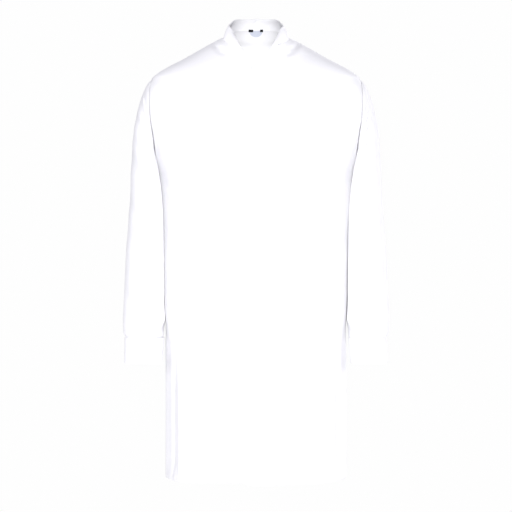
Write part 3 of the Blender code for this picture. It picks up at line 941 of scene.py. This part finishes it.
sheet = yokeSheet()
for edge in (sheet["v"], fromTop(sheet), sheet["u"], fromEnd(sheet)):
    sheet = seamRoll(sheet, edge)
yokePiece = addCloth("yoke_cloth", sheet, yoke["cloth"], "yoke")
lower = part(sheet, slice(yoke["over"] + 1, -yoke["over"] - 1), slice(None))
edges = (backwards(lower), sideways(sheet), sideways(upsideDown(sheet)))
addStitches("yoke_stitches", [acrossAt(edge, yoke["stitches"]) for edge in edges])
print("the yoke is sewn")


# Collar

collar = {
    "columns": 170,
    "rows": 16,
    "corner": 8,
    "below": 1.5,  # it reaches this far past the neck seam
    "inset": 0.5,
    "bow": 1.6,
    "cloth": 1.5,
    "stitches": {"top": 3.5, "seam": 2.5},
    # creases inside: from turn and share of the height, to turn and share, half width and depth
    "creases": [
        (94, 0.55, 112, 0.62, 0.05, 0.9),
        (96, 0.32, 113, 0.36, 0.05, 1.0),
        (98, 0.12, 112, 0.14, 0.05, 0.8),
        (-95, 0.55, -112, 0.6, 0.05, 0.9),
        (-96, 0.32, -112, 0.36, 0.05, 1.0),
        (-98, 0.12, -111, 0.14, 0.05, 0.8),
        (-14, 0.2, 7, 1.0, 0.14, 1.2),
        (20, 0.35, 44, 0.7, 0.12, 0.7),
        (-46, 0.8, -24, 0.3, 0.1, 0.7),
    ],
}


def collarSheet():
    end = fronts["neckEnd"]
    plan = np.linspace(-end, end, collar["columns"])
    turns, seam = neckTurn(plan)
    base, _ = bodyPoint(turns, seam)
    radians = np.radians(plan)
    radial = np.stack([np.sin(radians), np.cos(radians), 0 * radians], -1)
    aside = np.stack([np.cos(radians), -np.sin(radians), 0 * radians], -1)
    rise, lean, swing = (curve(neckline, name, np.abs(plan))[:, None] for name in ("rise", "lean", "swing"))
    up = np.array([0, 0, 1.0])
    top = base + up * rise - radial * lean - aside * swing * np.sign(plan)[:, None]
    down = (base - top) / np.linalg.norm(base - top, axis=1, keepdims=True)
    base = base + down * collar["below"] - radial * collar["inset"]
    out = (radial * rise + up * lean) / np.hypot(rise, lean)
    run = runAlong(top)
    fromTip = np.minimum(run, run[-1] - run)
    r = collar["corner"]
    missing = r - np.sqrt(np.clip(r * r - np.clip(r - fromTip, 0, r) ** 2, 0, None))
    height = 1 - (missing / np.hypot(rise, lean)[:, 0])[:, None] * 0.8
    rows = []
    for j in range(collar["rows"]):
        share = j / (collar["rows"] - 1) * height
        bow = collar["bow"] * np.sin(math.pi * share) - 0.2
        rows.append(base + (top - base) * share + out * bow)
    points = np.array(rows)
    out = np.broadcast_to(out, points.shape).copy()
    share = np.linspace(0, 1, collar["rows"])[:, None]
    depth = 0
    for turn1, share1, turn2, share2, width, deep in collar["creases"]:
        along = np.clip((plan - turn1) / (turn2 - turn1), -0.3, 1.3)
        line = share1 + (share2 - share1) * along
        reach = ease(along, -0.15, 0.2) * (1 - ease(along, 0.8, 1.15))
        depth = depth + deep * np.exp(-(((share - line) / width) ** 2)) * reach
    points = points + out * (depth * ease(share, 0, 0.1))[..., None]
    return measured(points, facing(points, out))


sheet = collarSheet()
sheet = stitchedEdge(sheet, fromTop(sheet), collar["stitches"]["top"], 0.2, 0.25)
collarPiece = addCloth("collar_cloth", sheet, collar["cloth"], "collar", soften=0.5)
topLine = acrossAt(sideways(upsideDown(sheet)), collar["stitches"]["top"])
addStitches("collar_stitches", [topLine, acrossAt(sideways(sheet), collar["stitches"]["seam"])])
print("the collar is sewn")


# Label

label = {
    "radius": 16,
    "drop": 14,
    "top": 31,
    "inset": -2.3,
    "rim": {"at": 0.87, "width": 0.05, "height": 0.25},
    "cloth": 0.4,
}
tapes = {
    "spans": {"left": (10.0, 17.5), "right": (-18.5, -7.0)},
    "half": 2.6,
    "inset": -3.3,
    "bulge": 0.9,
    "cloth": 0.6,
}


def labelSheet():
    rows = []
    for share in np.linspace(0.985, 0, 22):
        half = label["radius"] * math.sqrt(1 - share**2)
        x = np.linspace(-half, half, 40)
        z = label["top"] - label["drop"] * share
        rows.append(bodyPoint(turnAt(x, z, False), np.full_like(x, z)))
    points, out = (np.array(each) for each in zip(*rows))
    sheet = moved(measured(points, out), label["inset"])
    rim = label["rim"]
    away = (sheet["points"][..., [0, 2]] - [0, label["top"]]) / [label["radius"], label["drop"]]
    off = (np.linalg.norm(away, axis=2) - rim["at"]) / rim["width"]
    return moved(sheet, rim["height"] * np.exp(-(off**2)))


labelPiece = addCloth("label_patch", labelSheet(), label["cloth"], "label", "grey_label", soften=0.12)
for word, (start, end) in tapes["spans"].items():
    heights = label["top"] + np.linspace(-tapes["half"], tapes["half"], 9)
    x, z = np.meshgrid(np.linspace(start, end, 14), heights)
    points, out = bodyPoint(turnAt(x, z, False), z)
    bulge = tapes["bulge"] * np.cos((z - label["top"]) / tapes["half"] * math.pi / 2)
    tape = moved(measured(points, out), tapes["inset"] - bulge)
    tapeName = f"label_tape_{word}"
    addCloth(f"{tapeName}_cloth", tape, tapes["cloth"], tapeName, "black_tape", soften=0.2)
print("the label is sewn in")


# Sleeves

sleeve = {
    "free": -345,
    "cuffTop": -683,
    "cuffBottom": -741,
    "clear": 1.1,  # between the sleeve and the body
    "columns": 216,
    "rows": {"cap": 84, "arm": 112},
    "rings": {
        "height": [-345, -414, -506, -598, -645, -672, -683, -741],
        "inner": [224, 217, 213, 211, 210.5, 210.5, 211.5, 217],
        "outer": [288, 293, 299, 303, 305, 304, 300, 301],
        "halfDepth": [86, 80, 72, 62, 53, 42, 36, 34],
        "forward": [0, 2, 6, 11, 13, 14, 14, 14],
    },
    "folds": [
        ("front", 264, -112, 236, -222, -9, 8, 6.0),
        ("front", 276, -158, 234, -252, -8, 8, 5.0),
        ("front", 286, -250, 240, -350, -8, 11, 3.5),
        ("front", 222, -560, 244, -678, -10, 8, 5.0),
        ("front", 262, -640, 266, -684, 0, 6, 3.0),
        ("front", 284, -430, 236, -520, -8, 13, 4.0),
        ("back", 262, -120, 232, -240, -9, 10, 6.0),
        ("back", 280, -190, 236, -300, -8, 11, 5.0),
        ("back", 280, -420, 240, -530, -8, 13, 4.5),
        ("back", 238, -610, 246, -684, 0, 7, 3.0),
        ("back", 262, -620, 262, -684, 0, 6, 3.0),
    ],
    "creases": [
        ("front", 280, -205, 244, -288, -7, 6, 1.5),
        ("front", 290, -360, 250, -430, -6, 7, 1.5),
        ("front", 270, -470, 226, -560, -7, 7, 1.4),
        ("front", 234, -640, 240, -684, 2, 3, 1.4),
        ("front", 248, -655, 251, -684, 0, 2.6, 1.1),
        ("front", 282, -655, 280, -684, 0, 3, 1.2),
        ("front", 296, -560, 270, -640, -5, 7, 1.4),
        ("front", 228, -690, 240, -684, 0, 3, 0.8),
        ("back", 286, -260, 250, -350, -7, 7, 1.7),
        ("back", 290, -340, 244, -420, -7, 8, 1.6),
        ("back", 296, -520, 256, -610, -6, 8, 1.8),
        ("back", 228, -640, 232, -684, 0, 3, 1.2),
        ("back", 276, -650, 277, -684, 0, 3, 1.3),
        ("back", 290, -660, 288, -684, 0, 3, 1.0),
    ],
    # folds that lie over on one side
    "pleats": [
        ("front", 258, -112, 232, -208, -6, 8, 9.0),
        ("front", 268, -163, 230, -238, -3, 6, 6.5),
        ("front", 211, -586, 224, -656, 4, 8, 9.0),
        ("front", 236, -684, 246, -636, 2, 4, 3.0),
        ("back", 262, -110, 232, -212, -8, 8, 4.5),
        ("back", 280, -170, 231, -262, -6, 7, 4.0),
        ("back", 284, -390, 240, -470, -6, 8, 3.0),
        ("back", 240, -684, 236, -630, 0, 4, 2.5),
        ("back", 268, -684, 272, -640, 0, 4, 2.5),
    ],
    "flat": {"size": (0.46, 0.6), "area": 0.186},
    "cloth": 0.5,
    "stitches": 4,
}


def ringPoint(z, angles, grow=0.0):
    # 0 degrees is next to the body, 90 the front and 180 outside
    inner, outer, halfDepth, forward = (
        curve(sleeve["rings"], name, z) for name in ("inner", "outer", "halfDepth", "forward")
    )
    angle = np.radians(angles)
    x = (inner + outer) / 2 - ((outer - inner) / 2 + grow) * np.cos(angle)
    y = -forward - (halfDepth + grow) * np.sin(angle)
    out = np.stack([-np.cos(angle) * halfDepth, -np.sin(angle) * (outer - inner) / 2, 0 * angle], -1)
    out /= np.linalg.norm(out, axis=-1, keepdims=True)
    return np.stack([x, y, np.full_like(x, z)], -1), out


def againstBody(points, angles):
    # the sleeve's inner corners lie against the body's sides: the points, and how firmly each lies
    x, y, z = points[..., 0], points[..., 1], points[..., 2]
    width, depth, square = section(z, np.broadcast_to(angles < 180, z.shape))
    side = width * np.clip(1 - (np.abs(y) / depth) ** square, 0, 1) ** (1 / square)
    around = np.minimum(angles, 360 - angles)
    reach = ease(around, 0, 18) * (1 - ease(around, 38, 82))
    reach = reach * ease(-z, 205, 262) * (1 - ease(-z, 640, 674))
    push = np.clip(x - side - sleeve["clear"], 0, 24) * reach
    return points - push[..., None] * np.array([1.0, 0, 0]), reach


def evened(rings, angles, firm):
    # the same rings with their columns evenly apart
    rows = []
    for ring, hold in zip(rings, firm):
        run = runAlong(ring)
        at = np.linspace(0, run[-1], sleeve["columns"])
        rows.append(np.stack([np.interp(at, run, each) for each in (*ring.T, angles, hold)], -1))
    rows = np.array(rows)
    return rows[..., :3], rows[..., 3], rows[..., 4]


def sleeveSheet():
    angles = np.linspace(0, 360, 361)
    angle = np.radians(angles)
    tip, underarm = bodyForm["shoulderTip"], bodyForm["underarm"]
    z = (underarm + tip) / 2 - (tip - underarm) / 2 * np.cos(angle)
    inFront = np.sin(angle) > 0
    start, _ = bodyPoint(turnOffSide(armholeDepth(z, inFront), z, inFront), z)
    start = start + np.array([0.3, 0, 0])
    end, _ = ringPoint(sleeve["free"], angles)
    high = (1 - np.cos(angle)) / 2  # 0 at the underarm and 1 at the shoulder
    leave = np.stack([8 + 112 * high, -10 * np.sin(angle), -40 - 60 * high], -1)
    arrive = np.stack([0 * high, 0 * high, -30 - 220 * high], -1)
    shares = np.linspace(0, 1, sleeve["rows"]["cap"] + 1)
    rings = [between(start, end, leave, arrive, t) for t in shares]
    for z in np.linspace(sleeve["free"], sleeve["cuffTop"] - 6, sleeve["rows"]["arm"] + 1)[1:]:
        shrink = -2.3 * float(ease(z, sleeve["cuffTop"] + 5, sleeve["cuffTop"] - 1))
        rings.append(ringPoint(z, angles, shrink)[0])
    rings, firm = againstBody(np.array(rings), angles)
    points, angles, firm = evened(rings, angles, firm)
    points[:, -1] = points[:, 0]
    outward = points - points[:, :-1].mean(1, keepdims=True)
    out = facing(points, outward, True)
    angle = np.radians(angles)
    inFront = np.sin(angle) > 0
    fade = ease(np.arange(len(points)), 0, 14)[:, None] * np.abs(np.sin(angle)) ** 0.5
    x, z = points[..., 0], points[..., 2]
    depth = creaseDepth(sleeve["folds"] + sleeve["creases"], inFront, x, z)
    pleat = creaseDepth(sleeve["pleats"], inFront, x, z, 0.35) * fade
    loose = slack(angles * 2.2, z, 41, 0.7) * (1 - ease(np.abs(angles - 180), 150, 180))
    rise = (loose - depth) * fade * (1 - 0.8 * firm) + hang["inset"]
    points = points + out * rise[..., None]
    points = points - out * pleat[..., None] * np.array([0.2, 1, 1])
    points[:, -1] = points[:, 0]
    return measured(points, facing(points, out, True), True)


def mirrored(sheet, side):
    flip = np.array([side, 1, 1])
    return {**sheet, "points": sheet["points"] * flip, "out": sheet["out"] * flip}


# Cuffs, their buttons and the narrow bands above them

cuff = {
    "lap": 28,
    "girth": 246,
    "start": 262,
    "inset": 0.15,
    "over": {"height": 2.5, "turns": (250, 352)},  # the lap rises over the layer underneath
    "wave": 0.35,
    "button": 9.2,  # from the lap's end
    "edge": 4,
    "cloth": 1.5,
    "columns": 130,
    "rows": 22,
}
slitBand = {"turn": 250, "half": 12, "length": 118, "proud": 1.1, "stitches": 2, "cloth": 0.4}
button = {
    "radius": 5.5,
    "thick": 2.2,
    "hole": 0.75,
    "spread": 1.35,
    "thread": 0.24,
    # half its outline, in shares of its radius and its thickness
    "outline": [
        (0, -0.5),
        (0.86, -0.5),
        (0.97, -0.25),
        (1, 0.05),
        (0.95, 0.38),
        (0.84, 0.5),
        (0.74, 0.42),
        (0.62, 0.16),
        (0, 0.12),
    ],
}


def cuffSheet():
    turn = np.linspace(0, 360 * (1 + cuff["lap"] / cuff["girth"]), cuff["columns"])
    grow = cuff["over"]["height"] * ease(turn, *cuff["over"]["turns"]) - cuff["inset"]
    rows = []
    for z in np.linspace(sleeve["cuffBottom"], sleeve["cuffTop"], cuff["rows"]):
        points, out = ringPoint(z, cuff["start"] - turn)
        rows.append(points + out * grow[:, None])
    wave = cuff["wave"] * np.sin(turn / 360 * 2 * math.pi * 3 + 1)
    points = np.array(rows) + out * wave[:, None]
    return measured(points, facing(points, np.broadcast_to(out, points.shape)))


def slitBandSheet():
    rows = []
    for z in np.linspace(sleeve["cuffTop"] + 1.5, sleeve["cuffTop"] + slitBand["length"], 36):
        halfDepth = float(curve(sleeve["rings"], "halfDepth", z))
        half = math.degrees(slitBand["half"] / halfDepth)
        turns = np.linspace(slitBand["turn"] + half, slitBand["turn"] - half, 9)
        rows.append(ringPoint(z, turns, slitBand["proud"]))
    points, out = (np.array(each) for each in zip(*rows))
    return measured(points, facing(points, out))


def addRod(work, radius, depth, segments, matrix):
    sizes = {"radius1": radius * mm, "radius2": radius * mm, "depth": depth * mm}
    bmesh.ops.create_cone(work, cap_ends=True, segments=segments, matrix=matrix, **sizes)


def addButton(name, place, out, replaced):
    # a turned disc with a raised rim, four holes through it and crossed threads
    r, thick = button["radius"], button["thick"]
    work = bmesh.new()
    ring = [work.verts.new((x * r * mm, 0, z * thick * mm)) for x, z in button["outline"]]
    edges = [work.edges.new(pair) for pair in zip(ring[:-1], ring[1:])]
    turned = {"axis": (0, 0, 1), "cent": (0, 0, 0), "steps": 40, "angle": 2 * math.pi}
    bmesh.ops.spin(work, geom=ring + edges, use_merge=True, **turned)
    bmesh.ops.remove_doubles(work, verts=work.verts, dist=1e-6)
    bmesh.ops.recalc_face_normals(work, faces=work.faces)
    disc = bpy.data.objects.new("disc", meshOf(work, name))
    work = bmesh.new()
    for x, y in ((1, 1), (1, -1), (-1, 1), (-1, -1)):
        spot = Matrix.Translation(Vector((x, y, 0)) * button["spread"] * mm)
        addRod(work, button["hole"], 3 * thick, 14, spot)
    drill = bpy.data.objects.new("drill", meshOf(work, "drill"))
    for one in (disc, drill):
        bpy.context.scene.collection.objects.link(one)
    cut = disc.modifiers.new("holes", "BOOLEAN")
    cut.operation = "DIFFERENCE"
    cut.object = drill
    cut.solver = "EXACT"
    bpy.context.view_layer.update()
    drilled = disc.evaluated_get(bpy.context.evaluated_depsgraph_get())
    holed = bpy.data.meshes.new_from_object(drilled)
    for one in (disc, drill):
        bpy.data.objects.remove(one)
    up = Vector(out).normalized()
    along = Vector((0, 0, 1)).cross(up).normalized()
    turn = Matrix((along, up.cross(along), up)).transposed().to_4x4()
    centre = Vector(place) + up * (thick / 2 + 0.3)
    where = Matrix.Translation(centre * mm) @ turn
    holed.transform(where)
    holed.shade_smooth()
    holed.set_sharp_from_angle(angle=math.radians(35))
    finished(name, holed, "white_button", replaced)
    work = bmesh.new()
    for angle in (45, 135):
        for lay in (-0.22, 0.22):
            lean = Matrix.Rotation(math.radians(angle), 4, "Z")
            level = Matrix.Translation((0, lay * mm, 0.34 * thick * mm))
            spot = level @ Matrix.Rotation(math.pi / 2, 4, "Y")
            reach = 2 * math.sqrt(2) * button["spread"]
            addRod(work, button["thread"], reach, 8, where @ lean @ spot)
    mesh = meshOf(work, name + "_thread")
    mesh.shade_smooth()
    finished(name + "_thread", mesh, "white_poplin", finish="thread")


sleeveCloth, cuffCloth, bandCloth = sleeveSheet(), cuffSheet(), slitBandSheet()
sleeveCloth = seamRoll(sleeveCloth, sleeveCloth["v"], 0.35, 2)
for edge in (cuffCloth["v"], fromTop(cuffCloth), fromEnd(cuffCloth)):
    cuffCloth = stitchedEdge(cuffCloth, edge, cuff["edge"], 0.15, 0.25)
middle = cuff["rows"] // 2
spot = np.argmin(np.abs(fromEnd(cuffCloth)[middle] - cuff["button"]))
for side, word in ((1, "left"), (-1, "right")):
    sheet = mirrored(sleeveCloth, side)
    sleevePiece = addCloth(f"sleeve_{word}_cloth", sheet, sleeve["cloth"], f"sleeve_{word}")
    headLine = acrossAt(sideways(sheet), sleeve["stitches"])
    sheet = mirrored(cuffCloth, side)
    cuffPiece = addCloth(f"cuff_{word}_cloth", sheet, cuff["cloth"], f"cuff_{word}", soften=0.45)
    cuffLines = [
        acrossAt(sideways(sheet), cuff["edge"]),
        acrossAt(sideways(upsideDown(sheet)), cuff["edge"]),
        acrossAt(backwards(sheet), cuff["edge"], skip=2),
    ]
    place, out = sheet["points"][middle, spot], sheet["out"][middle, spot]
    sheet = mirrored(bandCloth, side)
    bandName = f"sleeve_band_{word}"
    bandPiece = addCloth(f"{bandName}_cloth", sheet, slitBand["cloth"], bandName, soften=0.12)
    bandLines = [
        acrossAt(sheet, slitBand["stitches"]),
        acrossAt(backwards(sheet), slitBand["stitches"]),
        acrossAt(sideways(upsideDown(sheet)), slitBand["stitches"] + 1),
    ]
    addStitches(f"sleeve_{word}_stitches", [*cuffLines, *bandLines, headLine])
    addButton(f"cuff_button_{word}_disc", place, out, f"cuff_button_{word}")
print("the sleeves and cuffs are sewn")


# Room, light and camera

room = {
    "floor": {"height": -1.5, "size": 1.8},  # metres, like the rest of this table
    "aim": (0, 0, -0.5),
    "lamps": {
        "front": {"place": (0, -3.6, -0.4), "size": 0.12, "energy": 104},
        "left": {"place": (4.2, -0.2, -0.2), "size": 1.6, "energy": 64},
        "right": {"place": (-4.2, -0.2, -0.2), "size": 1.6, "energy": 64},
        "back": {"place": (3.0, 4.0, 0.9), "size": 1.2, "energy": 105},
        "top": {"place": (0, -0.5, 3.0), "size": 1.6, "energy": 18},
    },
    # a narrow lamp into the neck
    "neckLamp": {
        "place": (0, -3.52, -0.48),
        "aim": (0, 0.07, 0.004),
        "energy": 120,
        "spot_size": math.radians(2.5),
        "spot_blend": 0.7,
        "shadow_soft_size": 0.02,
    },
    "shade": (0.19, 0.185, 0.23),
    "behind": (0.992, 0.992, 0.992),
    "camera": {"distance": 3.5, "height": -0.497, "shown": 1.178},
}
paleFloor = {
    "dark": (0.3, (0.86, 0.86, 0.87)),
    "light": (0.7, (0.9, 0.9, 0.9)),
    "roughness": (0.7, 0.1),
    "clouds": 3,
}


def floorFinish():
    finish = Finish("paleFloor", Specular_IOR_Level=0.2)
    clouds = finish.noise(finish.spot(), paleFloor["clouds"], 3.0)
    finish.tint(paleFloor, clouds)
    finish.roughen(paleFloor, clouds)
    return finish.material


def addLamp(name, kind, place, aim, **settings):
    lamp = bpy.data.lights.new(name, kind)
    for setting, value in settings.items():
        setattr(lamp, setting, value)
    thing = bpy.data.objects.new(name, lamp)
    thing.location = place
    thing.rotation_euler = (Vector(aim) - Vector(place)).to_track_quat("-Z", "Y").to_euler()
    bpy.context.scene.collection.objects.link(thing)


def addRoom():
    work = bmesh.new()
    spot = Matrix.Translation((0, 0, room["floor"]["height"]))
    bmesh.ops.create_circle(work, cap_ends=True, segments=96, radius=room["floor"]["size"], matrix=spot)
    mesh = meshOf(work, "floor")
    floor = bpy.data.objects.new("floor", mesh)
    mesh.materials.append(floorFinish())
    bpy.context.scene.collection.objects.link(floor)
    for name, look in room["lamps"].items():
        addLamp(name, "AREA", aim=room["aim"], **look)
    addLamp("neck", "SPOT", **room["neckLamp"])
    world = bpy.data.worlds.new("studio")
    bpy.context.scene.world = world
    world.use_nodes = True
    tree = world.node_tree
    background = tree.nodes["Background"]
    seen = tree.nodes.new("ShaderNodeBackground")
    seen.inputs["Color"].default_value = (*room["behind"], 1)
    background.inputs["Color"].default_value = (*room["shade"], 1)
    choice = tree.nodes.new("ShaderNodeMixShader")
    path = tree.nodes.new("ShaderNodeLightPath")
    tree.links.new(path.outputs["Is Camera Ray"], choice.inputs[0])
    tree.links.new(background.outputs[0], choice.inputs[1])
    tree.links.new(seen.outputs[0], choice.inputs[2])
    tree.links.new(choice.outputs[0], tree.nodes["World Output"].inputs[0])
    bpy.context.scene.view_settings.view_transform = "Standard"


def addCamera():
    look = room["camera"]
    data = bpy.data.cameras.new("camera")
    data.lens = data.sensor_width * look["distance"] / look["shown"]
    camera = bpy.data.objects.new("camera", data)
    camera.location = (0, -look["distance"], look["height"])
    camera.rotation_euler = (math.pi / 2, 0, 0)
    bpy.context.scene.collection.objects.link(camera)
    bpy.context.scene.camera = camera


addRoom()
addCamera()
print("the room is lit")
